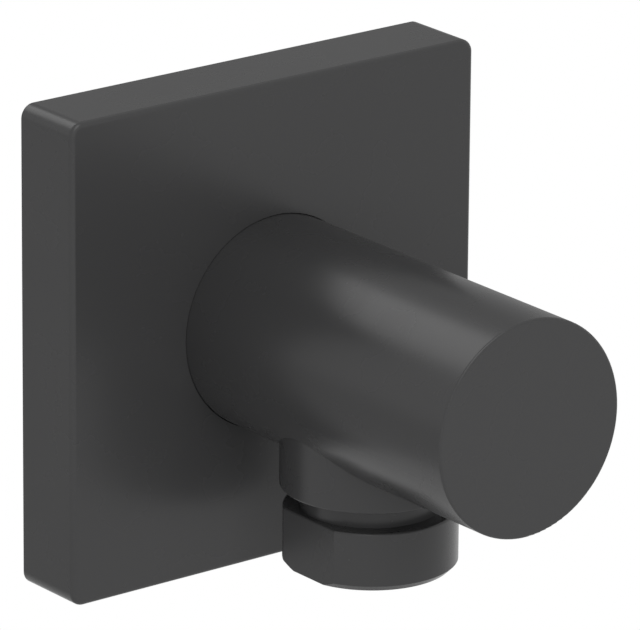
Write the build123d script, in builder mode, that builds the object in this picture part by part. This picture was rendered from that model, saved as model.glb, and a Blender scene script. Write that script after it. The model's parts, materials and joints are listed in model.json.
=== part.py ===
from build123d import *
import os
from math import radians, tan

# Wall outlet elbow for a hand shower, in millimetres.
# The origin is where the body's axis meets the finished wall. +Y points into the wall, -Y into the
# room and +Z up. A reach is a distance from the wall, and a drop is a distance below the body's axis.

# Cover plate
plate_side = 60.0
plate_depth = 10.0
plate_corner_radius = 1.7
plate_edge_radius = 0.6
plate_face_wall = 2.0
plate_rim_wall = 4.0
plate_hollow_corner_radius = 2.0
plate_sleeve_wall = 3.0
plate_sleeve_setback = 2.6
plate_rib_wall = 1.6
plate_rib_setback = 3.4
plate_gap = 0.1

# Gasket in the groove behind the plate's rim
gasket_inset = 1.2
gasket_width = 1.6
gasket_depth = 1.5
gasket_corner_radius = 1.4
gasket_gap = 0.05

# Rubber ring that holds the plate on the body
grip_ring_section = 1.8
grip_ring_reach = 5.2

# Body: a barrel that is closed at its front, and the neck below it
body_diameter = 26.5
body_reach = 58.0
body_edge_radius = 0.3
inlet_bore_diameter = 17.0
inlet_bore_lead_in = 0.6
inlet_bore_overrun = 1.5
drill_tip_angle = 118.0
outlet_reach = 28.8
neck_diameter = 21.8
neck_drop = 15.1
neck_wall = 2.1
neck_edge_radius = 0.25
seat_drop = 9.5
seat_width = 2.65

# G 1/2 thread, drawn plain at its outer diameter
thread_diameter = 20.955
thread_gap = 0.05

# Wall nipple
wall_thread_length = 15.0
wall_thread_lead_in = 1.2
flange_diameter = 23.0
flange_thickness = 2.0
spigot_gap = 0.1
spigot_lead_in = 0.4
waterway_diameter = 9.8
key_width = 10.0
key_depth = 9.0
spigot_seal_section = 1.26
spigot_seal_land = 1.0
spigot_seal_pitch = 2.7
seal_gap = 0.02
seal_groove_play = 0.44
lock_groove_depth = 1.5
lock_groove_play = 1.0

# Grub screw
screw_diameter = 5.0
screw_tip_diameter = 3.0
screw_edge_chamfer = 0.4
screw_key_width = 2.5
screw_key_depth = 2.4
screw_recess = 0.4

# Hose nipple: shank, groove and ring
groove_height = 2.6
groove_diameter = 17.0
ring_height = 7.35
ring_flats_width = 18.6
ring_lead_in = 0.75
ring_edge_radius = 0.3
shank_wall = 1.5
shank_lead_in = 0.4
lip_width = 1.2
nipple_gasket_thickness = 1.0

# Non-return valve cartridge
cartridge_length = 12.2
cartridge_gap = 0.05
housing_wall = 0.9
housing_seat_height = 2.4
housing_seal_section = 0.9
housing_seal_drop = 0.35
guide_gap = 0.05
guide_wall = 0.9
guide_height = 2.2
guide_leg_count = 3
guide_leg_width = 1.2
hub_wall = 1.1
hub_height = 4.0
stem_diameter = 2.0
stem_gap = 0.06
stem_tip_height = 2.2
flow_gap = 1.1
seat_overlap = 0.9
nose_gap = 0.9
nose_height = 1.0
nose_tip_radius = 1.5
poppet_seal_thickness = 0.8
poppet_seal_gap = 0.05
disc_thickness = 1.0
spring_pilot_height = 0.8
spring_wire_diameter = 0.4
spring_turns = 4
spring_gap = 0.2

# Worked out from the sizes above
body_radius = body_diameter / 2
neck_radius = neck_diameter / 2
thread_radius = thread_diameter / 2
plate_bore_radius = body_radius + plate_gap
sleeve_radius = plate_bore_radius + plate_sleeve_wall
hollow_side = plate_side - 2 * plate_rim_wall
hollow_depth = plate_depth - plate_face_wall
inlet_bore_radius = inlet_bore_diameter / 2
socket_radius = neck_radius - neck_wall
throat_radius = socket_radius - seat_width
inlet_bore_reach = outlet_reach + throat_radius + inlet_bore_overrun
spigot_radius = inlet_bore_radius - spigot_gap
spigot_reach = outlet_reach - throat_radius
screw_radius = screw_diameter / 2
screw_reach = (plate_depth + outlet_reach - neck_radius) / 2
shank_radius = socket_radius - thread_gap
nipple_bore_radius = shank_radius - shank_wall
nipple_top = -seat_drop - nipple_gasket_thickness
ring_top = -neck_drop - groove_height
nipple_foot = ring_top - ring_height
cartridge_foot = nipple_top - cartridge_length
housing_radius = nipple_bore_radius - cartridge_gap
housing_bore_radius = housing_radius - housing_wall
valve_seat = nipple_top - housing_seat_height
disc_radius = housing_bore_radius - flow_gap
valve_throat_radius = disc_radius - seat_overlap
nose_radius = valve_throat_radius - nose_gap
disc_top = valve_seat - poppet_seal_thickness
disc_foot = disc_top - disc_thickness
stem_radius = stem_diameter / 2
hub_radius = stem_radius + stem_gap + hub_wall
guide_top = cartridge_foot + guide_height

outlet_axis = Axis((0, -outlet_reach, 0), (0, 0, 1))
screw_axis = Axis((0, -screw_reach, 0), (0, 0, 1))
outlet_section = Plane.XZ.offset(outlet_reach)
screw_section = Plane.XZ.offset(screw_reach)

os.makedirs("parts", exist_ok=True)

# Cover plate: a square tray, open towards the wall, with a sleeve for the body and four ribs
with BuildPart() as cover_plate:
    with BuildSketch(Plane.XZ):
        RectangleRounded(plate_side, plate_side, plate_corner_radius)
    extrude(amount=plate_depth)
    fillet(cover_plate.faces().sort_by(Axis.Y)[0].edges(), plate_edge_radius)
    with BuildSketch(Plane.XZ):
        RectangleRounded(hollow_side, hollow_side, plate_hollow_corner_radius)
    extrude(amount=hollow_depth, mode=Mode.SUBTRACT)
    with BuildSketch(Plane.XZ.offset(plate_sleeve_setback)):
        Circle(sleeve_radius)
    extrude(amount=hollow_depth - plate_sleeve_setback)
    rib_start = sleeve_radius - plate_sleeve_wall / 2
    rib_end = hollow_side / 2 * 2**0.5
    with BuildSketch(Plane.XZ.offset(plate_rib_setback)):
        with PolarLocations((rib_start + rib_end) / 2, 4, start_angle=45):
            Rectangle(rib_end - rib_start, plate_rib_wall)
    extrude(amount=hollow_depth - plate_rib_setback)
    with BuildSketch(Plane.XZ):
        Circle(plate_bore_radius)
    extrude(amount=plate_depth, mode=Mode.SUBTRACT)
    # groove for the grip ring, inside the sleeve
    grip_groove_floor = body_radius + grip_ring_section + 2 * seal_gap
    with BuildSketch(Plane.XY):
        with Locations((0, -grip_ring_reach)):
            Rectangle(2 * grip_groove_floor, grip_ring_section + seal_groove_play)
            Rectangle(2 * body_radius, plate_depth, mode=Mode.SUBTRACT)
        split(bisect_by=Plane.YZ)
    revolve(axis=Axis.Y, mode=Mode.SUBTRACT)
    # groove for the gasket, behind the rim
    gasket_side = plate_side - 2 * gasket_inset
    with BuildSketch(Plane.XZ):
        RectangleRounded(gasket_side, gasket_side, gasket_corner_radius)
        Rectangle(gasket_side - 2 * gasket_width, gasket_side - 2 * gasket_width, mode=Mode.SUBTRACT)
    extrude(amount=gasket_depth, mode=Mode.SUBTRACT)
cover_plate.part.label = "cover_plate"
export_step(cover_plate.part, "parts/cover_plate.step")

# Gasket: a soft square frame that fills its groove, flush with the rim
with BuildPart() as wall_gasket:
    outer_side = gasket_side - 2 * gasket_gap
    inner_side = gasket_side - 2 * gasket_width + 2 * gasket_gap
    with BuildSketch(Plane.XZ):
        RectangleRounded(outer_side, outer_side, gasket_corner_radius)
        Rectangle(inner_side, inner_side, mode=Mode.SUBTRACT)
    extrude(amount=gasket_depth)
wall_gasket.part.label = "wall_gasket"
export_step(wall_gasket.part, "parts/wall_gasket.step")

# Grip ring: a round rubber ring between the sleeve and the body
with BuildPart() as plate_grip_ring:
    with BuildSketch(Plane.XY):
        with Locations((body_radius + seal_gap + grip_ring_section / 2, -grip_ring_reach)):
            Circle(grip_ring_section / 2)
    revolve(axis=Axis.Y)
plate_grip_ring.part.label = "plate_grip_ring"
export_step(plate_grip_ring.part, "parts/plate_grip_ring.step")

# Body: the barrel and neck in one casting, with a drilled inlet and a stepped outlet that meet
with BuildPart() as elbow_body:
    with BuildSketch(Plane.XZ.offset(flange_thickness)):
        Circle(body_radius)
    extrude(amount=body_reach - flange_thickness)
    with BuildSketch(Plane.XY.offset(-neck_drop)):
        with Locations((0, -outlet_reach)):
            Circle(neck_radius)
    extrude(amount=neck_drop)
    fillet(elbow_body.faces().sort_by(Axis.Y)[0].edges(), body_edge_radius)
    fillet(elbow_body.faces().sort_by(Axis.Z)[0].edges(), neck_edge_radius)
    # inlet bore from the wall side, with the cone that a drill leaves
    drill_tip_length = inlet_bore_radius / tan(radians(drill_tip_angle / 2))
    with BuildSketch(Plane.XY):
        with BuildLine():
            Polyline(
                (0, -flange_thickness),
                (inlet_bore_radius + inlet_bore_lead_in, -flange_thickness),
                (inlet_bore_radius, -flange_thickness - inlet_bore_lead_in),
                (inlet_bore_radius, -inlet_bore_reach),
                (0, -inlet_bore_reach - drill_tip_length),
                close=True,
            )
        make_face()
    revolve(axis=Axis.Y, mode=Mode.SUBTRACT)
    # outlet from beneath: the socket for the hose nipple, and the throat above its seat
    with Locations(Plane((0, -outlet_reach, -neck_drop), z_dir=(0, 0, -1))):
        CounterBoreHole(throat_radius, socket_radius, neck_drop - seat_drop, depth=neck_drop)
    # threaded hole for the grub screw, between the plate and the neck
    with Locations(Plane((0, -screw_reach, -body_radius), z_dir=(0, 0, -1))):
        Hole(screw_radius + thread_gap, depth=body_radius)
elbow_body.part.label = "elbow_body"
export_step(elbow_body.part, "parts/elbow_body.step")

# Wall nipple: thread, flange and spigot, with the waterway and a socket for the key
spigot_groove_floor = inlet_bore_radius - 2 * seal_gap - spigot_seal_section
spigot_groove_width = spigot_seal_section + seal_groove_play
lock_groove_floor = spigot_radius - lock_groove_depth
front_seal_reach = spigot_reach - spigot_seal_land - spigot_groove_width / 2
rear_seal_reach = front_seal_reach - spigot_seal_pitch
with BuildPart() as wall_nipple:
    with BuildSketch(Plane.XY):
        with BuildLine():
            Polyline(
                (waterway_diameter / 2, -spigot_reach),
                (spigot_radius - spigot_lead_in, -spigot_reach),
                (spigot_radius, -spigot_reach + spigot_lead_in),
                (spigot_radius, -flange_thickness),
                (flange_diameter / 2, -flange_thickness),
                (flange_diameter / 2, 0),
                (thread_radius, 0),
                (thread_radius, wall_thread_length - wall_thread_lead_in),
                (thread_radius - wall_thread_lead_in, wall_thread_length),
                (waterway_diameter / 2, wall_thread_length),
                close=True,
            )
        make_face()
    revolve(axis=Axis.Y)
    # two grooves for seals and one for the grub screw's tip
    with BuildSketch(Plane.XY):
        seal_land = spigot_radius - spigot_groove_floor
        with Locations((spigot_radius, -front_seal_reach), (spigot_radius, -rear_seal_reach)):
            Rectangle(2 * seal_land, spigot_groove_width)
        with Locations((spigot_radius, -screw_reach)):
            Rectangle(2 * lock_groove_depth, screw_tip_diameter + lock_groove_play)
    revolve(axis=Axis.Y, mode=Mode.SUBTRACT)
    with BuildSketch(Plane.XZ.offset(spigot_reach)):
        RegularPolygon(key_width / 2, 6, major_radius=False)
    extrude(amount=-key_depth, mode=Mode.SUBTRACT)
wall_nipple.part.label = "wall_nipple"
export_step(wall_nipple.part, "parts/wall_nipple.step")

# Spigot seals: two round rubber rings in the nipple's grooves
for name, reach in (("spigot_seal_rear", rear_seal_reach), ("spigot_seal_front", front_seal_reach)):
    with BuildPart() as spigot_seal:
        with BuildSketch(Plane.XY):
            with Locations((inlet_bore_radius - seal_gap - spigot_seal_section / 2, -reach)):
                Circle(spigot_seal_section / 2)
        revolve(axis=Axis.Y)
    spigot_seal.part.label = name
    export_step(spigot_seal.part, f"parts/{name}.step")

# Grub screw: its tip reaches into the nipple's groove, and its key socket opens downwards
with BuildPart() as grub_screw:
    screw_foot = -body_radius + screw_recess
    screw_tip = -lock_groove_floor - thread_gap
    screw_shoulder = -inlet_bore_radius
    tip_step = screw_radius - screw_tip_diameter / 2
    with BuildSketch(screw_section):
        with BuildLine():
            Polyline(
                (0, screw_foot),
                (screw_radius - screw_edge_chamfer, screw_foot),
                (screw_radius, screw_foot + screw_edge_chamfer),
                (screw_radius, screw_shoulder - tip_step),
                (screw_tip_diameter / 2, screw_shoulder),
                (screw_tip_diameter / 2, screw_tip),
                (0, screw_tip),
                close=True,
            )
        make_face()
    revolve(axis=screw_axis)
    with BuildSketch(Plane.XY.offset(screw_foot)):
        with Locations((0, -screw_reach)):
            RegularPolygon(screw_key_width / 2, 6, major_radius=False)
    extrude(amount=screw_key_depth, mode=Mode.SUBTRACT)
grub_screw.part.label = "grub_screw"
export_step(grub_screw.part, "parts/grub_screw.step")

# Hose nipple: shank in the neck, groove, and the ring for the hose, with a flat on each side
with BuildPart() as hose_nipple:
    with BuildSketch(outlet_section):
        with BuildLine():
            Polyline(
                (nipple_bore_radius, nipple_top),
                (shank_radius - shank_lead_in, nipple_top),
                (shank_radius, nipple_top - shank_lead_in),
                (shank_radius, -neck_drop),
                (groove_diameter / 2, -neck_drop),
                (groove_diameter / 2, ring_top),
                (thread_radius, ring_top),
                (thread_radius, nipple_foot + ring_lead_in),
                (thread_radius - ring_lead_in, nipple_foot),
                (nipple_bore_radius - lip_width, nipple_foot),
                (nipple_bore_radius - lip_width, cartridge_foot),
                (nipple_bore_radius, cartridge_foot),
                close=True,
            )
        make_face()
    revolve(axis=outlet_axis)
    with BuildSketch(Plane.XY.offset(nipple_foot)):
        with Locations((0, -outlet_reach)):
            Circle(thread_diameter)
            Rectangle(ring_flats_width, 2 * thread_diameter, mode=Mode.SUBTRACT)
    extrude(amount=ring_height, mode=Mode.SUBTRACT)
    # the two largest flat faces across the axis are the ring's ends, and the upper one is rounded
    ring_ends = hose_nipple.faces().filter_by(Axis.Z).sort_by(SortBy.AREA)[-2:]
    fillet(ring_ends.sort_by(Axis.Z)[-1].outer_wire().edges(), ring_edge_radius)
hose_nipple.part.label = "hose_nipple"
export_step(hose_nipple.part, "parts/hose_nipple.step")

# Nipple gasket: a flat ring between the seat in the neck and the nipple's upper end
with BuildPart() as nipple_gasket:
    with BuildSketch(Plane.XY.offset(nipple_top)):
        with Locations((0, -outlet_reach)):
            Circle(shank_radius)
            Circle(throat_radius, mode=Mode.SUBTRACT)
    extrude(amount=nipple_gasket_thickness)
nipple_gasket.part.label = "nipple_gasket"
export_step(nipple_gasket.part, "parts/nipple_gasket.step")

# Valve housing: a tube with the valve's seat near its top and a groove for its own seal
housing_groove_floor = nipple_bore_radius - 2 * seal_gap - housing_seal_section
housing_groove_top = nipple_top - housing_seal_drop
housing_groove_height = housing_seal_section + seal_groove_play
with BuildPart() as valve_housing:
    with BuildSketch(outlet_section):
        with BuildLine():
            Polyline(
                (valve_throat_radius, nipple_top),
                (housing_radius, nipple_top),
                (housing_radius, cartridge_foot),
                (housing_bore_radius, cartridge_foot),
                (housing_bore_radius, valve_seat),
                (valve_throat_radius, valve_seat),
                close=True,
            )
        make_face()
        with Locations((housing_radius, housing_groove_top - housing_groove_height / 2)):
            Rectangle(
                2 * (housing_radius - housing_groove_floor), housing_groove_height, mode=Mode.SUBTRACT
            )
    revolve(axis=outlet_axis)
valve_housing.part.label = "valve_housing"
export_step(valve_housing.part, "parts/valve_housing.step")

# Housing seal: a round rubber ring between the housing and the nipple's bore
with BuildPart() as valve_housing_seal:
    with BuildSketch(outlet_section):
        with Locations(
            (
                nipple_bore_radius - seal_gap - housing_seal_section / 2,
                housing_groove_top - housing_groove_height / 2,
            )
        ):
            Circle(housing_seal_section / 2)
    revolve(axis=outlet_axis)
valve_housing_seal.part.label = "valve_housing_seal"
export_step(valve_housing_seal.part, "parts/valve_housing_seal.step")

# Valve guide: a ring with legs to a hub that the poppet's stem slides in
with BuildPart() as valve_guide:
    guide_radius = housing_bore_radius - guide_gap
    guide_inner_radius = guide_radius - guide_wall
    leg_length = guide_inner_radius + guide_wall / 2 - stem_radius
    with BuildSketch(Plane.XY.offset(cartridge_foot)):
        with Locations((0, -outlet_reach)):
            Circle(guide_radius)
            Circle(guide_inner_radius, mode=Mode.SUBTRACT)
            Circle(hub_radius)
            with PolarLocations(stem_radius + leg_length / 2, guide_leg_count, start_angle=90):
                Rectangle(leg_length, guide_leg_width)
    extrude(amount=guide_height)
    with BuildSketch(Plane.XY.offset(guide_top)):
        with Locations((0, -outlet_reach)):
            Circle(hub_radius)
    extrude(amount=hub_height - guide_height)
    with Locations((0, -outlet_reach, cartridge_foot + hub_height)):
        Hole(stem_radius + stem_gap)
valve_guide.part.label = "valve_guide"
export_step(valve_guide.part, "parts/valve_guide.step")

# Poppet, closed: nose in the throat, disc below the seat, pilot for the spring, and stem
with BuildPart() as valve_poppet:
    stem_tip = cartridge_foot + stem_tip_height
    with BuildSketch(outlet_section):
        with BuildLine():
            Polyline(
                (0, valve_seat + nose_height),
                (nose_tip_radius, valve_seat + nose_height),
                (nose_radius, valve_seat),
                (nose_radius, disc_top),
                (disc_radius, disc_top),
                (disc_radius, disc_foot),
                (hub_radius, disc_foot),
                (hub_radius, disc_foot - spring_pilot_height),
                (stem_radius, disc_foot - spring_pilot_height),
                (stem_radius, stem_tip),
                (0, stem_tip),
                close=True,
            )
        make_face()
    revolve(axis=outlet_axis)
valve_poppet.part.label = "valve_poppet"
export_step(valve_poppet.part, "parts/valve_poppet.step")

# Poppet seal: a flat rubber ring on the disc, which meets the seat when the valve is shut
with BuildPart() as poppet_seal:
    with BuildSketch(Plane.XY.offset(disc_top)):
        with Locations((0, -outlet_reach)):
            Circle(disc_radius)
            Circle(nose_radius + poppet_seal_gap, mode=Mode.SUBTRACT)
    extrude(amount=poppet_seal_thickness)
poppet_seal.part.label = "poppet_seal"
export_step(poppet_seal.part, "parts/poppet_seal.step")

# Spring: a coil round the hub, between the guide's legs and the disc
with BuildPart() as valve_spring:
    wire_radius = spring_wire_diameter / 2
    coil_radius = hub_radius + spring_gap + wire_radius
    coil_foot = guide_top + wire_radius + seal_gap
    coil_height = disc_foot - wire_radius - seal_gap - coil_foot
    with BuildLine():
        coil = Helix(
            coil_height / spring_turns, coil_height, coil_radius, center=(0, -outlet_reach, coil_foot)
        )
    with BuildSketch(Plane(coil @ 0, z_dir=coil % 0)):
        Circle(wire_radius)
    sweep(is_frenet=True)
valve_spring.part.label = "valve_spring"
export_step(valve_spring.part, "parts/valve_spring.step")
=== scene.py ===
# %% [markdown]
# A wall outlet elbow, dressed for its portrait
#
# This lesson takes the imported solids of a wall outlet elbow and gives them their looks. The object is
# a square cover plate, a round body that stands out from the wall, and an outlet that points down,
# where the hose of a hand shower is screwed on.
#
# The solids are right already, so most of them stay and only get a finish. A solid is replaced where
# the real piece has a form that the plain solid leaves out: the pipe thread of the wall nipple, the
# fine thread and key socket of the grub screw, and the closed end coils of the spring.
#
# All lengths are in metres. The origin is where the body's axis meets the wall, +Y points into the
# wall, -Y out into the room, and +Z up.

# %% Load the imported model
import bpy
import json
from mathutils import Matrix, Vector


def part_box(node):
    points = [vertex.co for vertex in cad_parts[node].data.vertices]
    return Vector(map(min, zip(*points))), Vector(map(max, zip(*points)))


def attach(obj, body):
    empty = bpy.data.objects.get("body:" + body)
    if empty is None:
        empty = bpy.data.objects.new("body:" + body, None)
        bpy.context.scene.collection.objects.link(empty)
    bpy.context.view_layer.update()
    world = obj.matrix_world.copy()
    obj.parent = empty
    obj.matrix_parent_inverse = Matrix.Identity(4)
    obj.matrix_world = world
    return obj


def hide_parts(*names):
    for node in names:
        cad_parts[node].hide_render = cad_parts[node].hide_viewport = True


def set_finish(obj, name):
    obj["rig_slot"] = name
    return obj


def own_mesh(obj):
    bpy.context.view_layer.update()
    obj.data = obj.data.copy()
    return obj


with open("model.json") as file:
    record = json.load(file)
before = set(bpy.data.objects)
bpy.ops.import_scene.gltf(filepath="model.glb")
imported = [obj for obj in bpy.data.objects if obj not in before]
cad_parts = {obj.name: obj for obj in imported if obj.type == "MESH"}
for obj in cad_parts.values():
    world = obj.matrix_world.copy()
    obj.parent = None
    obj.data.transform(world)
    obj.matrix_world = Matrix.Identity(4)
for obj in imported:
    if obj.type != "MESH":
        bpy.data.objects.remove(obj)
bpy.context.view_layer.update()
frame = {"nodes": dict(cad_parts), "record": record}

# %% Tools and units
import json
from math import cos, pi, radians, sin

import bmesh
import bpy
import numpy as np
from mathutils import Matrix, Vector

MM = 0.001
outlet_low, outlet_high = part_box("hose_nipple")
OUTLET_Y = (outlet_low.y + outlet_high.y) / 2
THREAD_RADIUS = (outlet_high.y - outlet_low.y) / 2
print("outlet axis at y =", round(OUTLET_Y, 4), "thread radius", round(THREAD_RADIUS, 5))

# %% [markdown]
# The camera
#
# A product picture like this is taken from far away with a long lens, so that the plate's edges stay
# nearly parallel. A camera could be placed by eye and turned until it looks right. Here it is placed
# by numbers instead: a direction round the object, a height angle, a distance and a slight roll. Then
# three unit vectors, back, right and up, make the camera's rotation matrix directly.

# %% Camera
CAMERA_AZIMUTH = radians(-38.009)
CAMERA_ELEVATION = radians(18.7503)
CAMERA_ROLL = radians(0.4909)
CAMERA_DISTANCE = 0.87048
CAMERA_LENS_MM = 405.608
CAMERA_AIM_RIGHT = 0.011514
CAMERA_AIM_UP = -0.00189
SENSOR_WIDTH_MM = 36
FURTHEST_SEEN = 10


def direction(azimuth, elevation):
    """The unit vector from the object towards a viewer: azimuth 0 is in front, negative to the left."""
    return Vector((sin(azimuth) * cos(elevation), -cos(azimuth) * cos(elevation), sin(elevation)))


back = direction(CAMERA_AZIMUTH, CAMERA_ELEVATION)
right = Vector((cos(CAMERA_AZIMUTH), sin(CAMERA_AZIMUTH), 0))
up = back.cross(right)
right, up = (
    right * cos(CAMERA_ROLL) + up * sin(CAMERA_ROLL),
    up * cos(CAMERA_ROLL) - right * sin(CAMERA_ROLL),
)
aim = right * CAMERA_AIM_RIGHT + up * CAMERA_AIM_UP
camera = bpy.data.objects.new("camera", bpy.data.cameras.new("camera"))
bpy.context.scene.collection.objects.link(camera)
camera.data.sensor_width = SENSOR_WIDTH_MM
camera.data.lens = CAMERA_LENS_MM
camera.data.clip_end = FURTHEST_SEEN
turn = Matrix((right, up, back)).transposed().to_4x4()
camera.matrix_world = Matrix.Translation(aim + back * CAMERA_DISTANCE) @ turn
bpy.context.scene.camera = camera
bpy.context.scene.view_settings.view_transform = "Standard"
print("camera", [round(v, 3) for v in camera.location])

# %% [markdown]
# Light
#
# Satin black shows little of its own colour. What the eye reads is the soft reflection of the white
# room round it, so the room is the main lamp. The world is white to the camera and in reflections, and
# the Light Path node lets its light on matt surfaces be set apart from that. Three large area lamps
# give the rest: one overhead behind the body, whose reflection runs along its upper side, and two in
# front, at the left and above, which light the plate and the shaded side of the body. The one at the
# left stays out of reflections, where it would draw a bright line along every rim that faces it.

# %% World
ROOM_LIGHT = 0.5
WHITE = 1.0


def add_nodes(tree, **wanted):
    """Nodes by name: add_nodes(tree, path="ShaderNodeLightPath") lists them in the order given."""
    made = []
    for name, kind in wanted.items():
        node = tree.nodes.new(kind)
        node.name = name
        made.append(node)
    return made


world = bpy.data.worlds.new("white_room")
bpy.context.scene.world = world
world.use_nodes = True
tree = world.node_tree
room = tree.nodes["Background"]
room.inputs["Color"].default_value = (1, 1, 1, 1)
path, shiny, seen, strength = add_nodes(
    tree,
    path="ShaderNodeLightPath",
    shiny="ShaderNodeMath",
    seen="ShaderNodeMath",
    strength="ShaderNodeMapRange",
)
shiny.operation = seen.operation = "MAXIMUM"
strength.inputs["To Min"].default_value = ROOM_LIGHT
strength.inputs["To Max"].default_value = WHITE
tree.links.new(path.outputs["Is Glossy Ray"], shiny.inputs[0])
tree.links.new(path.outputs["Is Transmission Ray"], shiny.inputs[1])
tree.links.new(path.outputs["Is Camera Ray"], seen.inputs[0])
tree.links.new(shiny.outputs["Value"], seen.inputs[1])
tree.links.new(seen.outputs["Value"], strength.inputs["Value"])
tree.links.new(strength.outputs["Result"], room.inputs["Strength"])
print("world: white to the eye and in gloss, and a light of", ROOM_LIGHT, "on matt surfaces")

# %% Lamps
def softbox(name, azimuth, elevation, distance, size, radiance, in_gloss=True):
    """A square area lamp, aimed at the origin: its power is radiance times pi times its area."""
    data = bpy.data.lights.new(name, "AREA")
    data.size = size
    data.energy = radiance * pi * size * size
    lamp = bpy.data.objects.new(name, data)
    bpy.context.scene.collection.objects.link(lamp)
    towards = direction(radians(azimuth), radians(elevation))
    lamp.location = towards * distance
    lamp.rotation_euler = towards.to_track_quat("Z", "Y").to_euler()
    lamp.visible_camera = False
    lamp.visible_glossy = in_gloss


softbox("overhead_behind", azimuth=190, elevation=39, distance=0.8, size=0.45, radiance=1.5)
softbox("front_left", azimuth=-30, elevation=18, distance=1.0, size=0.7, radiance=3.4, in_gloss=False)
softbox("front_top", azimuth=-20, elevation=58, distance=1.0, size=0.7, radiance=2.6)
print("lamps", [lamp.name for lamp in bpy.data.lights])

# %% [markdown]
# Floor
#
# The object hangs on a wall, so the floor lies well below it. Near the object the floor is pale and
# matt and takes the shadow. Far away it turns into the same white as the room, so that no horizon
# shows. Seen from beneath it is clear, so that a view from below isn't blocked.

# %% Sheets of the set
FLOOR_Z = -0.3
FLOOR_HALF = 4.0
FLOOR_NEAR = 0.2
FLOOR_FAR = 0.45
FLOOR_WHITE = 0.85


def stage_card(name, centre, side_a, side_b):
    """A square sheet from its centre and its two half sides, and its finish's empty node tree."""
    mesh = bpy.data.meshes.new(name)
    signs = np.array([(-1, -1), (1, -1), (1, 1), (-1, 1)], float)
    corners = np.array(centre) + signs @ np.array([side_a, side_b])
    mesh.from_pydata(corners.tolist(), [], [(0, 1, 2, 3)])
    sheet = bpy.data.objects.new(name, mesh)
    bpy.context.scene.collection.objects.link(sheet)
    material = bpy.data.materials.new(name + "_finish")
    material.use_nodes = True
    material.node_tree.nodes.clear()
    mesh.materials.append(material)
    return sheet, material.node_tree


def fade(tree, centre, near, far):
    """0 within a distance of near from a point, rising to 1 at far, along a smooth curve."""
    place, distance, ramp = add_nodes(
        tree, place="ShaderNodeTexCoord", distance="ShaderNodeVectorMath", ramp="ShaderNodeMapRange"
    )
    distance.operation = "DISTANCE"
    distance.inputs[1].default_value = centre
    ramp.interpolation_type = "SMOOTHSTEP"
    ramp.inputs["From Min"].default_value = near
    ramp.inputs["From Max"].default_value = far
    tree.links.new(place.outputs["Object"], distance.inputs[0])
    tree.links.new(distance.outputs["Value"], ramp.inputs["Value"])
    return ramp.outputs["Result"]


print("the floor is", 2 * FLOOR_HALF, "m wide, and white from", FLOOR_FAR, "m away")

# %% Floor
floor_centre = (0, 0, FLOOR_Z)
floor, tree = stage_card("floor", floor_centre, (FLOOR_HALF, 0, 0), (0, FLOOR_HALF, 0))
matt, glow, blend, sides, clear, under, out = add_nodes(
    tree,
    matt="ShaderNodeBsdfDiffuse",
    glow="ShaderNodeEmission",
    blend="ShaderNodeMixShader",
    sides="ShaderNodeNewGeometry",
    clear="ShaderNodeBsdfTransparent",
    under="ShaderNodeMixShader",
    out="ShaderNodeOutputMaterial",
)
matt.inputs["Color"].default_value = (FLOOR_WHITE, FLOOR_WHITE, FLOOR_WHITE, 1)
tree.links.new(fade(tree, floor_centre, FLOOR_NEAR, FLOOR_FAR), blend.inputs["Fac"])
tree.links.new(matt.outputs["BSDF"], blend.inputs[1])
tree.links.new(glow.outputs["Emission"], blend.inputs[2])
tree.links.new(sides.outputs["Backfacing"], under.inputs["Fac"])
tree.links.new(blend.outputs["Shader"], under.inputs[1])
tree.links.new(clear.outputs["BSDF"], under.inputs[2])
tree.links.new(under.outputs["Shader"], out.inputs["Surface"])
print(floor.name, "at z =", FLOOR_Z)

# %% [markdown]
# Grey cards
#
# In an all-white room the upper faces of a glossy black thing would shine nearly white, because a low
# view angle raises any gloss. A photographer holds dark cards where those faces mirror them. Here a
# dark one stands behind at the right, and a smaller, paler one low behind at the left. Their edges fade
# to clear, so that no line shows in the gloss, and the camera doesn't see them.

# %% Grey cards
def grey_card(name, azimuth, elevation, distance, half, grey):
    """A square card that faces the origin: grey within half / 2 of its centre, and clear from half on."""
    a = radians(azimuth)
    towards = direction(a, radians(elevation))
    across = Vector((cos(a), sin(a), 0))
    centre = towards * distance
    card, tree = stage_card(name, centre, across * half, towards.cross(across) * half)
    card.visible_camera = False
    glow, clear, blend, out = add_nodes(
        tree,
        glow="ShaderNodeEmission",
        clear="ShaderNodeBsdfTransparent",
        blend="ShaderNodeMixShader",
        out="ShaderNodeOutputMaterial",
    )
    glow.inputs["Strength"].default_value = grey
    tree.links.new(fade(tree, centre, half / 2, half), blend.inputs["Fac"])
    tree.links.new(glow.outputs["Emission"], blend.inputs[1])
    tree.links.new(clear.outputs["BSDF"], blend.inputs[2])
    tree.links.new(blend.outputs["Shader"], out.inputs["Surface"])
    print(name, "at", [round(v, 2) for v in centre], "with a grey of", grey)


grey_card("card_right", azimuth=140, elevation=12, distance=0.5, half=0.45, grey=0.42)
grey_card("card_left", azimuth=220, elevation=-18, distance=0.5, half=0.2, grey=0.62)

# %% [markdown]
# Surfaces from arrays
#
# Every new piece is a grid of points: rows run along the piece and columns run round it. A thread, a
# hexagon or a coil is then one formula for the whole grid, with no loop over its points. One helper
# turns such a grid into a mesh, closes it round its columns, merges the points that meet at a pole,
# and turns its faces outwards if the volume that they enclose comes out negative.

# %% Faces of a grid
def grid_faces(rows, columns, closed_rows):
    """Corner numbers of each quad: (i, j), (i, j+1), (i+1, j+1), (i+1, j), with j taken round."""
    last = rows if closed_rows else rows - 1
    i, j = np.meshgrid(np.arange(last), np.arange(columns), indexing="ij")
    i2, j2 = (i + 1) % rows, (j + 1) % columns
    quads = np.stack([i * columns + j, i * columns + j2, i2 * columns + j2, i2 * columns + j], -1)
    return quads.reshape(-1, 4)


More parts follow.
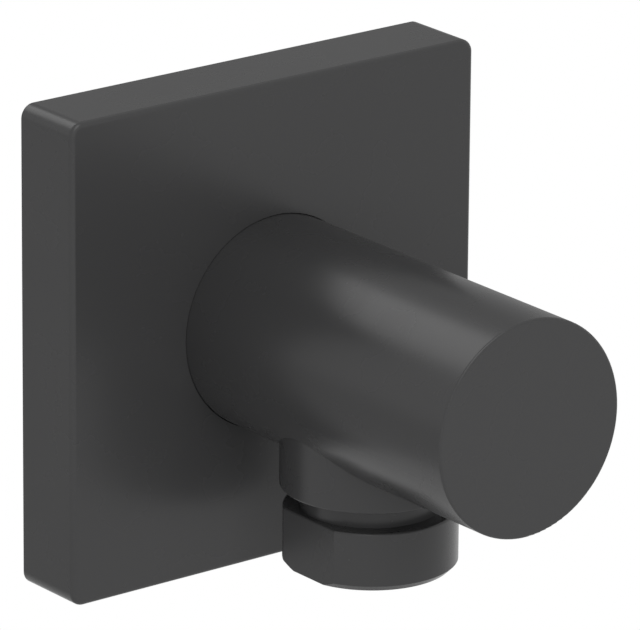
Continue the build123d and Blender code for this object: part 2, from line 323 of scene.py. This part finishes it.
def signed_volume(points, quads):
    """A sixth of the sum of a . (b x c) over the triangles: positive if the faces point outwards."""
    a, b, c, d = (points[quads[:, k]] for k in range(4))
    return (np.einsum("ij,ij", a, np.cross(b, c)) + np.einsum("ij,ij", a, np.cross(c, d))) / 6


print("3 rows of 8 points make", len(grid_faces(3, 8, closed_rows=False)), "faces")

# %% Grid to mesh
SHARP_ANGLE = radians(35)
MERGE_DISTANCE = 1e-7


def merge_poles(mesh):
    """Points in the same place become one, so that a row of zero radius is a closed pole."""
    work = bmesh.new()
    work.from_mesh(mesh)
    bmesh.ops.remove_doubles(work, verts=work.verts, dist=MERGE_DISTANCE)
    work.to_mesh(mesh)
    work.free()


def piece_from_grid(name, grid, closed_rows=False):
    """A smooth mesh object, with sharp creases, from points in the shape (rows, columns, 3)."""
    rows, columns = grid.shape[:2]
    points = grid.reshape(-1, 3)
    quads = grid_faces(rows, columns, closed_rows)
    if signed_volume(points, quads) < 0:
        quads = quads[:, ::-1]
    mesh = bpy.data.meshes.new(name)
    mesh.vertices.add(len(points))
    mesh.vertices.foreach_set("co", points.astype(np.float32).ravel())
    mesh.loops.add(quads.size)
    mesh.loops.foreach_set("vertex_index", quads.astype(np.int32).ravel())
    mesh.polygons.add(len(quads))
    mesh.polygons.foreach_set("loop_start", np.arange(0, quads.size, 4, dtype=np.int32))
    mesh.polygons.foreach_set("use_smooth", np.ones(len(quads), bool))
    mesh.update(calc_edges=True)
    merge_poles(mesh)
    mesh.set_sharp_from_angle(angle=SHARP_ANGLE)
    piece = bpy.data.objects.new(name, mesh)
    bpy.context.scene.collection.objects.link(piece)
    print(name, len(mesh.vertices), "vertices,", len(mesh.polygons), "faces")
    return piece


print("creases sharper than", round(SHARP_ANGLE * 180 / pi), "degrees stay sharp")


# %% Steps along a profile
def smooth_step(t):
    """Goes from 0 to 1 as t does, level at both ends: 3 t squared less 2 t cubed."""
    t = np.clip(t, 0, 1)
    return t * t * (3 - 2 * t)


def along(corners, steps):
    """Points along (place, radius) corners: each run is cut into the fewest equal parts that aren't
    longer than its step, and every corner is kept."""
    corners = np.array(corners, float)
    counts = np.maximum(1, np.ceil(np.hypot(*np.diff(corners, axis=0).T) / steps)).astype(int)
    starts = np.repeat(corners[:-1], counts, axis=0)
    ends = np.repeat(corners[1:], counts, axis=0)
    shares = np.concatenate([np.arange(n) / n for n in counts])[:, None]
    return np.vstack([starts + (ends - starts) * shares, corners[-1:]])


print("a run of 1 in steps of 0.3 has its points at", along([(0, 0), (1, 0)], 0.3)[:, 0].tolist())

# %% [markdown]
# Threads and key sockets
#
# A screw thread could be swept along a helix. It is simpler as a height map on the cylinder: the
# depth at a point depends only on how far along the axis it lies, in turns of the thread, less its
# angle in turns. The pipe thread has a triangular form with an angle of 55 degrees, and the screw's
# has 60. Both are cut flat at crest and root by a sixth of the triangle's height. Their rows lie close
# together, because the crest's edge crosses them at a slant and would look jagged on coarse ones.
# A hexagon socket is also one formula: the distance from the centre to a side in each direction.

# %% Thread and hexagon formulas
def thread_depth(turns, pitch, full_height, cut):
    """Depth below the crest: a triangle wave of the full height, with its crest and root cut off."""
    wave = np.abs(2 * (turns % 1.0) - 1) * full_height
    return np.clip(full_height - wave - cut, 0, full_height - 2 * cut)


def hexagon_radius(angle, across_flats):
    """From the centre to a hexagon's side: half its width over the cosine of the angle to that side."""
    sixth = pi / 3
    return across_flats / 2 / np.cos((angle + sixth / 2) % sixth - sixth / 2)


print("a 10 mm hexagon is", round(2 * hexagon_radius(pi / 6, 10), 2), "mm across its corners")

# %% [markdown]
# Wall nipple
#
# The brass nipple is turned from bar on a lathe, and its G 1/2 thread is cut on one end. A flange
# stops it on the pipe's fitting, and the body slides over the spigot on the other end, which has two
# grooves for rubber rings and one for the tip of the grub screw. A hexagon in the spigot's mouth takes
# the key. The whole piece is one closed grid: along the outside to the wall, round the thread's end,
# and back through the waterway.

# %% Wall nipple's sizes
NIPPLE_COLUMNS = 120
PLAIN_STEP = 1.0 * MM
PIPE_THREAD_STEP = 0.025 * MM
PIPE_PITCH = 1.814 * MM
PIPE_FULL_HEIGHT = 0.960491 * PIPE_PITCH
PIPE_CUT = PIPE_FULL_HEIGHT / 6
FLANGE_THICKNESS = 2.0 * MM
FLANGE_RADIUS = 11.5 * MM
THREAD_LEAD_IN = 1.2 * MM
THREAD_RUN_OUT = 1.6 * MM
SPIGOT_RADIUS = 8.4 * MM
SPIGOT_LEAD_IN = 0.4 * MM
WATERWAY_RADIUS = 4.9 * MM
KEY_WIDTH = 10.0 * MM
KEY_DEPTH = 9.0 * MM
GROOVE_FLOOR = 7.2 * MM
GROOVE_WIDTH = 1.7 * MM
LOCK_FLOOR = 6.9 * MM
LOCK_WIDTH = 4.0 * MM
BROKEN_EDGE = 0.15 * MM
SAME = 1e-9

nipple_low, nipple_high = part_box("wall_nipple")
spigot_end, thread_end = nipple_low.y, nipple_high.y
seals = ("spigot_seal_front", "spigot_seal_rear")
groove_places = [sum(corner.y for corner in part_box(name)) / 2 for name in seals]
screw_low, screw_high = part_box("grub_screw")
SCREW_Y = (screw_low.y + screw_high.y) / 2
print("nipple from", round(spigot_end, 4), "to", round(thread_end, 4), "screw at", round(SCREW_Y, 4))


# %% Wall nipple's outline
def groove(centre, width, floor, land):
    """Four corners of a square groove, from the spigot's end towards the wall."""
    near, far = centre - width / 2, centre + width / 2
    return [(near, land), (near, floor), (far, floor), (far, land)]


key_floor = spigot_end + KEY_DEPTH
outline = [(spigot_end, SPIGOT_RADIUS - SPIGOT_LEAD_IN), (spigot_end + SPIGOT_LEAD_IN, SPIGOT_RADIUS)]
for place in groove_places:
    outline += groove(place, GROOVE_WIDTH, GROOVE_FLOOR, SPIGOT_RADIUS)
outline += groove(SCREW_Y, LOCK_WIDTH, LOCK_FLOOR, SPIGOT_RADIUS)
outline += [
    (-FLANGE_THICKNESS, SPIGOT_RADIUS),
    (-FLANGE_THICKNESS, FLANGE_RADIUS - BROKEN_EDGE),
    (-FLANGE_THICKNESS + BROKEN_EDGE, FLANGE_RADIUS),
    (-BROKEN_EDGE, FLANGE_RADIUS),
    (0, FLANGE_RADIUS - BROKEN_EDGE),
    (0, THREAD_RADIUS),
    (thread_end, THREAD_RADIUS),
    (thread_end, WATERWAY_RADIUS + BROKEN_EDGE),
    (thread_end - BROKEN_EDGE, WATERWAY_RADIUS),
    (key_floor, WATERWAY_RADIUS),
    (key_floor, KEY_WIDTH / 2),
    (spigot_end, KEY_WIDTH / 2),
    (spigot_end, SPIGOT_RADIUS - SPIGOT_LEAD_IN),
]
threaded = [start == end == THREAD_RADIUS for (_, start), (_, end) in zip(outline, outline[1:])]
rows = along(outline, np.where(threaded, PIPE_THREAD_STEP, PLAIN_STEP))[:-1]
row_y, row_radius = rows[:, 0, None], rows[:, 1, None]
print("wall nipple profile has", len(rows), "rows")


# %% Wall nipple
angle = np.arange(NIPPLE_COLUMNS)[None, :] * 2 * pi / NIPPLE_COLUMNS
on_thread = (row_y >= 0) & (row_radius > SPIGOT_RADIUS + BROKEN_EDGE) & (row_radius <= THREAD_RADIUS)
full = smooth_step(row_y / THREAD_RUN_OUT)
cut = thread_depth(row_y / PIPE_PITCH - angle / (2 * pi), PIPE_PITCH, PIPE_FULL_HEIGHT, PIPE_CUT) * full
lead_in = THREAD_RADIUS - np.clip(row_y - thread_end + THREAD_LEAD_IN, 0, None)
thread_radius = np.minimum(THREAD_RADIUS - cut, lead_in)
radius = np.where(on_thread, np.minimum(row_radius, thread_radius), row_radius)
in_key = (row_y <= key_floor) & (np.abs(row_radius - KEY_WIDTH / 2) < SAME)
radius = np.where(in_key, hexagon_radius(angle, KEY_WIDTH), radius)
grid = np.stack([radius * np.sin(angle), row_y + 0 * angle, radius * np.cos(angle)], -1)
nipple = piece_from_grid("wall_nipple_threaded", grid, closed_rows=True)
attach(nipple, "fitting")
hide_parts("wall_nipple")
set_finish(nipple, "brass")

# %% [markdown]
# Grub screw
#
# The small steel screw locks the body on the nipple from beneath, where nobody sees it. It has an
# M5 thread, a plain tip that reaches into the nipple's groove, and a hexagon socket for a 2.5 mm key
# that ends in the cone of the drill. The grid starts at a pole on the tip and ends at a pole in the
# socket.

# %% Grub screw's sizes
SCREW_COLUMNS = 72
SCREW_THREAD_STEP = 0.02 * MM
SCREW_PITCH = 0.8 * MM
SCREW_FULL_HEIGHT = 0.866 * SCREW_PITCH
SCREW_CUT = SCREW_FULL_HEIGHT / 6
SCREW_TIP_RADIUS = 1.5 * MM
SCREW_TIP_LENGTH = 1.55 * MM
SCREW_KEY_WIDTH = 2.5 * MM
SCREW_KEY_DEPTH = 2.4 * MM
SCREW_CONE = 0.7 * MM
SCREW_END_CHAMFER = 0.4 * MM

screw_radius = (screw_high.x - screw_low.x) / 2
shoulder = screw_high.z - SCREW_TIP_LENGTH
socket_floor = screw_low.z + SCREW_KEY_DEPTH
screw_outline = [
    (screw_high.z, 0),
    (screw_high.z, SCREW_TIP_RADIUS - BROKEN_EDGE),
    (screw_high.z - BROKEN_EDGE, SCREW_TIP_RADIUS),
    (shoulder, SCREW_TIP_RADIUS),
    (shoulder - (screw_radius - SCREW_TIP_RADIUS), screw_radius),
    (screw_low.z + SCREW_END_CHAMFER, screw_radius),
    (screw_low.z, screw_radius - SCREW_END_CHAMFER),
    (screw_low.z, SCREW_KEY_WIDTH / 2),
    (socket_floor, SCREW_KEY_WIDTH / 2),
    (socket_floor + SCREW_CONE, 0),
]
print("grub screw from z =", round(screw_low.z, 4), "to", round(screw_high.z, 4))

# %% Grub screw
widest = [max(start, end) for (_, start), (_, end) in zip(screw_outline, screw_outline[1:])]
threaded = np.array(widest) > SCREW_TIP_RADIUS
rows = along(screw_outline, np.where(threaded, SCREW_THREAD_STEP, PLAIN_STEP))
row_z, row_radius = rows[:, 0, None], rows[:, 1, None]
angle = np.arange(SCREW_COLUMNS)[None, :] * 2 * pi / SCREW_COLUMNS
turns = row_z / SCREW_PITCH - angle / (2 * pi)
cut = thread_depth(turns, SCREW_PITCH, SCREW_FULL_HEIGHT, SCREW_CUT)
on_thread = row_radius > SCREW_TIP_RADIUS + BROKEN_EDGE
radius = np.where(on_thread, np.minimum(row_radius, screw_radius - cut), row_radius)
in_socket = (row_z <= socket_floor + SAME) & (np.abs(row_radius - SCREW_KEY_WIDTH / 2) < SAME)
radius = np.where(in_socket, hexagon_radius(angle, SCREW_KEY_WIDTH), radius)
grid = np.stack([radius * np.cos(angle), SCREW_Y + radius * np.sin(angle), row_z + 0 * angle], -1)
screw = piece_from_grid("grub_screw_threaded", grid)
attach(screw, "fitting")
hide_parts("grub_screw")
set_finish(screw, "steel")

# %% [markdown]
# Valve spring
#
# The spring closes the valve's poppet. It is a compression spring, so its end coils lie flat against
# their seats. The wire's path is a helix whose height doesn't grow evenly: it stays level over the
# end coils and rises in between. The wire is a circle carried along that path, in the plane of the
# outward direction and the third axis beside the path.

# %% Valve spring's path
SPRING_WIRE_RADIUS = 0.2 * MM
SPRING_TURNS = 5.4
SPRING_END_TURNS = 0.8
SPRING_ROWS = 520
SPRING_COLUMNS = 14

spring_low, spring_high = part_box("valve_spring")
coil_radius = (spring_high.x - spring_low.x) / 2 - SPRING_WIRE_RADIUS
t = np.linspace(0, 1, SPRING_ROWS)[:, None]
turned = t * SPRING_TURNS
active = (turned - SPRING_END_TURNS) / (SPRING_TURNS - 2 * SPRING_END_TURNS)
free_rise = spring_high.z - spring_low.z - 4 * SPRING_WIRE_RADIUS
rise = np.clip(active, 0, 1) * free_rise + SPRING_WIRE_RADIUS * smooth_step(turned / SPRING_END_TURNS)
rise += SPRING_WIRE_RADIUS * smooth_step((turned - SPRING_TURNS + SPRING_END_TURNS) / SPRING_END_TURNS)
swing = 2 * pi * turned
outward = np.concatenate([np.cos(swing), np.sin(swing), 0 * swing], 1)
centre = outward * coil_radius + np.array([0, OUTLET_Y, spring_low.z + SPRING_WIRE_RADIUS])
centre[:, 2:] += rise
print("the wire's centre rises by", round(float(rise[-1, 0]) / MM, 2), "mm in", SPRING_TURNS, "turns")

# %% Valve spring
tangent = np.gradient(centre, axis=0)
tangent /= np.linalg.norm(tangent, axis=1, keepdims=True)
beside = np.cross(tangent, outward)
round_wire = np.arange(SPRING_COLUMNS) * 2 * pi / SPRING_COLUMNS
wire = SPRING_WIRE_RADIUS * np.minimum(1, np.minimum(t, 1 - t) * SPRING_ROWS)
circle_out, circle_beside = np.cos(round_wire)[None, :, None], np.sin(round_wire)[None, :, None]
ring = outward[:, None] * circle_out + beside[:, None] * circle_beside
grid = centre[:, None] + ring * wire[:, None]
spring = piece_from_grid("valve_spring_coil", grid)
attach(spring, "fitting")
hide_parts("valve_spring")
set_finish(spring, "steel")
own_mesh(spring)

# %% [markdown]
# Finishes
#
# Each finish is a Principled shader whose roughness and bump come from noise at its real scale. A few
# helpers keep the node trees short: noise with its grain given as a length, a map from noise to a
# range, a mix of two colours, and a bump with its depth given as a length.

# %% Noise and its range
def grain(tree, size, detail=2.0, stretch=(1, 1, 1)):
    """Noise from 0 to 1, its grains about this size in metres and longer where the stretch is small."""
    place, mapping, noise = add_nodes(
        tree, place="ShaderNodeTexCoord", mapping="ShaderNodeMapping", noise="ShaderNodeTexNoise"
    )
    mapping.inputs["Scale"].default_value = [s / size for s in stretch]
    noise.inputs["Scale"].default_value = 1.0
    noise.inputs["Detail"].default_value = detail
    tree.links.new(place.outputs["Object"], mapping.inputs["Vector"])
    tree.links.new(mapping.outputs["Vector"], noise.inputs["Vector"])
    return noise.outputs["Fac"]


def to_range(tree, value, low, high, start=0.3, end=0.7):
    """Low up to start, high from end on, and straight between them."""
    (node,) = add_nodes(tree, spread="ShaderNodeMapRange")
    for socket, number in (("From Min", start), ("From Max", end), ("To Min", low), ("To Max", high)):
        node.inputs[socket].default_value = number
    tree.links.new(value, node.inputs["Value"])
    return node.outputs["Result"]


print("grains of 1 mm are noise with a scale of", round(1 / MM))

# %% Colour, bump and shader
MIX_FACTOR, MIX_FIRST, MIX_SECOND = 0, 6, 7
MIX_COLOUR_OUT = 2


def mix_colours(tree, factor, first, second):
    """The first colour where the factor is 0 and the second where it is 1."""
    (node,) = add_nodes(tree, mix="ShaderNodeMix")
    node.data_type = "RGBA"
    node.inputs[MIX_FIRST].default_value = (*first, 1)
    node.inputs[MIX_SECOND].default_value = (*second, 1)
    tree.links.new(factor, node.inputs[MIX_FACTOR])
    return node.outputs[MIX_COLOUR_OUT]


def bump(tree, height, depth):
    """A bump from a height of 0 to 1 that stands for a depth in metres."""
    (node,) = add_nodes(tree, bump="ShaderNodeBump")
    node.inputs["Strength"].default_value = 1.0
    node.inputs["Distance"].default_value = depth
    tree.links.new(height, node.inputs["Height"])
    return node.outputs["Normal"]


def new_finish(name, colour, roughness, **sockets):
    """A material with a Principled shader, and constants set on the shader's own sockets."""
    material = bpy.data.materials.new(name)
    material.use_nodes = True
    shader = material.node_tree.nodes["Principled BSDF"]
    shader.inputs["Base Color"].default_value = (*colour, 1)
    shader.inputs["Roughness"].default_value = roughness
    for socket, value in sockets.items():
        shader.inputs[socket.replace("_", " ").title().replace("Ior", "IOR")].default_value = value
    print("finish", name)
    return material, material.node_tree, shader


# %% [markdown]
# Matt black coating
#
# Plate, body and hose nipple are brass with a baked black coating. Close up it is not quite even: it
# has the faint waviness of sprayed paint, with waves half a millimetre long and two thousandths of a
# millimetre deep, a fine grain in its colour, and spots where it is a touch smoother. The coating is a
# very dark grey. About half the light that it sends back is its gloss, which is softer than on bare
# metal. Each piece stretches its spots a little differently, so that they don't run on across a joint.

# %% Matt black coating
PAINT_COLOUR = (0.029, 0.029, 0.0295)
PAINT_WORN = (0.033, 0.033, 0.0335)
PAINT_GLOSS = 0.27
PAINT_SMOOTHER, PAINT_ROUGHNESS, PAINT_ROUGHER = 0.24, 0.27, 0.3
PAINT_SPOTS = 9 * MM
PAINT_WAVES, PAINT_WAVE_DEPTH = 0.55 * MM, 0.002 * MM
PAINT_GRAIN = 0.07 * MM


def black_coating(name, spot_stretch):
    """Noise in three sizes: spots that vary the gloss, waves in the surface, grain in the colour."""
    material, tree, shader = new_finish(
        name, PAINT_COLOUR, PAINT_ROUGHNESS, specular_ior_level=PAINT_GLOSS
    )
    spots = grain(tree, PAINT_SPOTS, detail=4, stretch=(1, spot_stretch, 1))
    waves = grain(tree, PAINT_WAVES, detail=1)
    fine = grain(tree, PAINT_GRAIN)
    colour = mix_colours(tree, to_range(tree, fine, 0, 1, 0.2, 0.8), PAINT_COLOUR, PAINT_WORN)
    gloss = to_range(tree, spots, PAINT_SMOOTHER, PAINT_ROUGHER, 0.15, 0.85)
    tree.links.new(colour, shader.inputs["Base Color"])
    tree.links.new(gloss, shader.inputs["Roughness"])
    tree.links.new(bump(tree, waves, PAINT_WAVE_DEPTH), shader.inputs["Normal"])
    return material


coated = {"black_plate": 1.0, "black_body": 1.1, "black_nipple": 1.2}
finishes = {name: black_coating(name, stretch) for name, stretch in coated.items()}

# %% [markdown]
# Turned brass and steel
#
# A lathe leaves fine rings round the axis of the nipple. In the shader that is noise stretched across
# the axis, so that its grains turn into bands, under a softer tarnish that also dulls the gloss. The
# screw and the spring are steel with the same kind of bands, across the upright axis of both.

# %% Brass and steel
BRASS, BRASS_TARNISHED = (0.72, 0.5, 0.2), (0.5, 0.32, 0.12)
STEEL, STEEL_DULL = (0.56, 0.56, 0.57), (0.36, 0.36, 0.37)
RING_DEPTH, RING_STRETCH = 0.003 * MM, 0.02
TARNISH_SPOTS = 4 * MM
Y_AXIS, Z_AXIS = 1, 2


def turned_metal(name, bright, dull, roughness, turning_axis, ring_pitch):
    """Bands across the turning axis, from noise that is stretched over the two other axes."""
    material, tree, shader = new_finish(name, bright, roughness, metallic=1.0)
    stretch = [1.0 if axis == turning_axis else RING_STRETCH for axis in range(3)]
    rings = grain(tree, ring_pitch, detail=3, stretch=stretch)
    tarnish = grain(tree, TARNISH_SPOTS, detail=5)
    colour = mix_colours(tree, to_range(tree, tarnish, 0, 1), bright, dull)
    gloss = to_range(tree, tarnish, roughness - 0.06, roughness + 0.12)
    tree.links.new(colour, shader.inputs["Base Color"])
    tree.links.new(gloss, shader.inputs["Roughness"])
    tree.links.new(bump(tree, rings, RING_DEPTH), shader.inputs["Normal"])
    return material


finishes["brass"] = turned_metal("brass", BRASS, BRASS_TARNISHED, 0.3, Y_AXIS, 0.25 * MM)
finishes["steel"] = turned_metal("steel", STEEL, STEEL_DULL, 0.32, Z_AXIS, 0.2 * MM)

# %% [markdown]
# Rubber, fibre and foam
#
# The sealing rings are black rubber with a dusty bloom and a faint moulded texture. The flat gasket in
# the outlet is grey fibre-filled rubber with pale flecks. The gasket behind the plate is closed-cell
# foam, whose cut cells show as small dents: a Voronoi pattern gives the distance to each cell's middle.
# The middle of each dent is painted darker, as painted shade for the hollow.

# %% Rubber
RUBBER, RUBBER_BLOOM = (0.012, 0.012, 0.012), (0.03, 0.03, 0.031)
FIBRE_RUBBER, FIBRE_FLECKS = (0.05, 0.05, 0.05), (0.12, 0.12, 0.115)
BLOOM_SPOTS = 2.5 * MM
SPECK_DEPTH = 0.01 * MM


def rubber_finish(name, dark, bloom, speck):
    """A dull dark rubber with bloom in soft patches and a fine bump."""
    material, tree, shader = new_finish(name, dark, 0.6, specular_ior_level=0.4)
    patches = grain(tree, BLOOM_SPOTS, detail=5)
    specks = grain(tree, speck)
    colour = mix_colours(tree, to_range(tree, patches, 0, 1), dark, bloom)
    tree.links.new(colour, shader.inputs["Base Color"])
    tree.links.new(to_range(tree, specks, 0.5, 0.72), shader.inputs["Roughness"])
    tree.links.new(bump(tree, specks, SPECK_DEPTH), shader.inputs["Normal"])
    return material


finishes["rubber"] = rubber_finish("rubber", RUBBER, RUBBER_BLOOM, 0.12 * MM)
finishes["gasket_rubber"] = rubber_finish("gasket_rubber", FIBRE_RUBBER, FIBRE_FLECKS, 0.2 * MM)

# %% Foam
# The second foam colour is painted shade for the middle of each dent.
FOAM_SKIN, FOAM_HOLE_SHADE = (0.09, 0.09, 0.095), (0.02, 0.02, 0.021)
FOAM_CELL, FOAM_DENT = 0.35 * MM, 0.08 * MM


def foam_finish(name, skin, hole_shade):
    """Cells from a Voronoi distance: deep in the middle of a cell, with painted shade there, and pale on
    its walls.
    """
    material, tree, shader = new_finish(name, skin, 0.85)
    place, cells = add_nodes(tree, place="ShaderNodeTexCoord", cells="ShaderNodeTexVoronoi")
    cells.inputs["Scale"].default_value = 1 / FOAM_CELL
    tree.links.new(place.outputs["Object"], cells.inputs["Vector"])
    wall = to_range(tree, cells.outputs["Distance"], 0, 1, 0.1, 0.6)
    # Painted shade: the dark colour fills the middle of each cell, where the dent is deepest.
    tree.links.new(mix_colours(tree, wall, hole_shade, skin), shader.inputs["Base Color"])
    tree.links.new(to_range(tree, wall, 0.95, 0.8, 0, 1), shader.inputs["Roughness"])
    tree.links.new(bump(tree, wall, FOAM_DENT), shader.inputs["Normal"])
    return material


finishes["foam"] = foam_finish("foam", FOAM_SKIN, FOAM_HOLE_SHADE)

# %% [markdown]
# Moulded plastic
#
# Housing and guide of the non-return valve are moulded in a milky white plastic that lets a little
# light in, and the poppet in blue. A moulded surface has the mould's faint texture and a soft shine.
# The plastic flowed along the outlet's axis, so its streaks are longer that way.

# %% Plastic
MILKY, MILKY_SHADE = (0.8, 0.8, 0.78), (0.7, 0.71, 0.7)
BLUE, BLUE_SHADE = (0.06, 0.19, 0.5), (0.05, 0.15, 0.42)
FLOW_STREAKS, FLOW_STRETCH = 3 * MM, (1, 1, 0.4)
MOULD_GRAIN, MOULD_DEPTH = 0.06 * MM, 0.003 * MM


def moulded_plastic(name, colour, shade, glow_depth):
    """A soft shine with a mould's texture, and light that enters a little way."""
    material, tree, shader = new_finish(
        name, colour, 0.38, subsurface_weight=0.15, subsurface_scale=glow_depth
    )
    flow = grain(tree, FLOW_STREAKS, stretch=FLOW_STRETCH)
    texture = grain(tree, MOULD_GRAIN)
    streaks = mix_colours(tree, to_range(tree, flow, 0, 1), colour, shade)
    tree.links.new(streaks, shader.inputs["Base Color"])
    tree.links.new(to_range(tree, texture, 0.32, 0.46), shader.inputs["Roughness"])
    tree.links.new(bump(tree, texture, MOULD_DEPTH), shader.inputs["Normal"])
    return material


finishes["valve_plastic"] = moulded_plastic("valve_plastic", MILKY, MILKY_SHADE, 0.8 * MM)
finishes["poppet_plastic"] = moulded_plastic("poppet_plastic", BLUE, BLUE_SHADE, 0.4 * MM)

# %% [markdown]
# Dressing the pieces
#
# The record names a slot for each node, so one loop dresses them all. A solid that stays keeps its
# mesh, and only the material in its slot changes.

# %% Dress every piece
subparts = frame["record"]["subparts"]
for part in subparts:
    node = frame["nodes"][part["node"]]
    for holder in node.material_slots:
        holder.material = finishes[part["material_slot"]]
new_pieces = (nipple, screw, spring)
for piece in new_pieces:
    piece.data.materials.append(finishes[piece["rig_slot"]])
print("dressed", len(subparts), "nodes and", len(new_pieces), "new pieces")
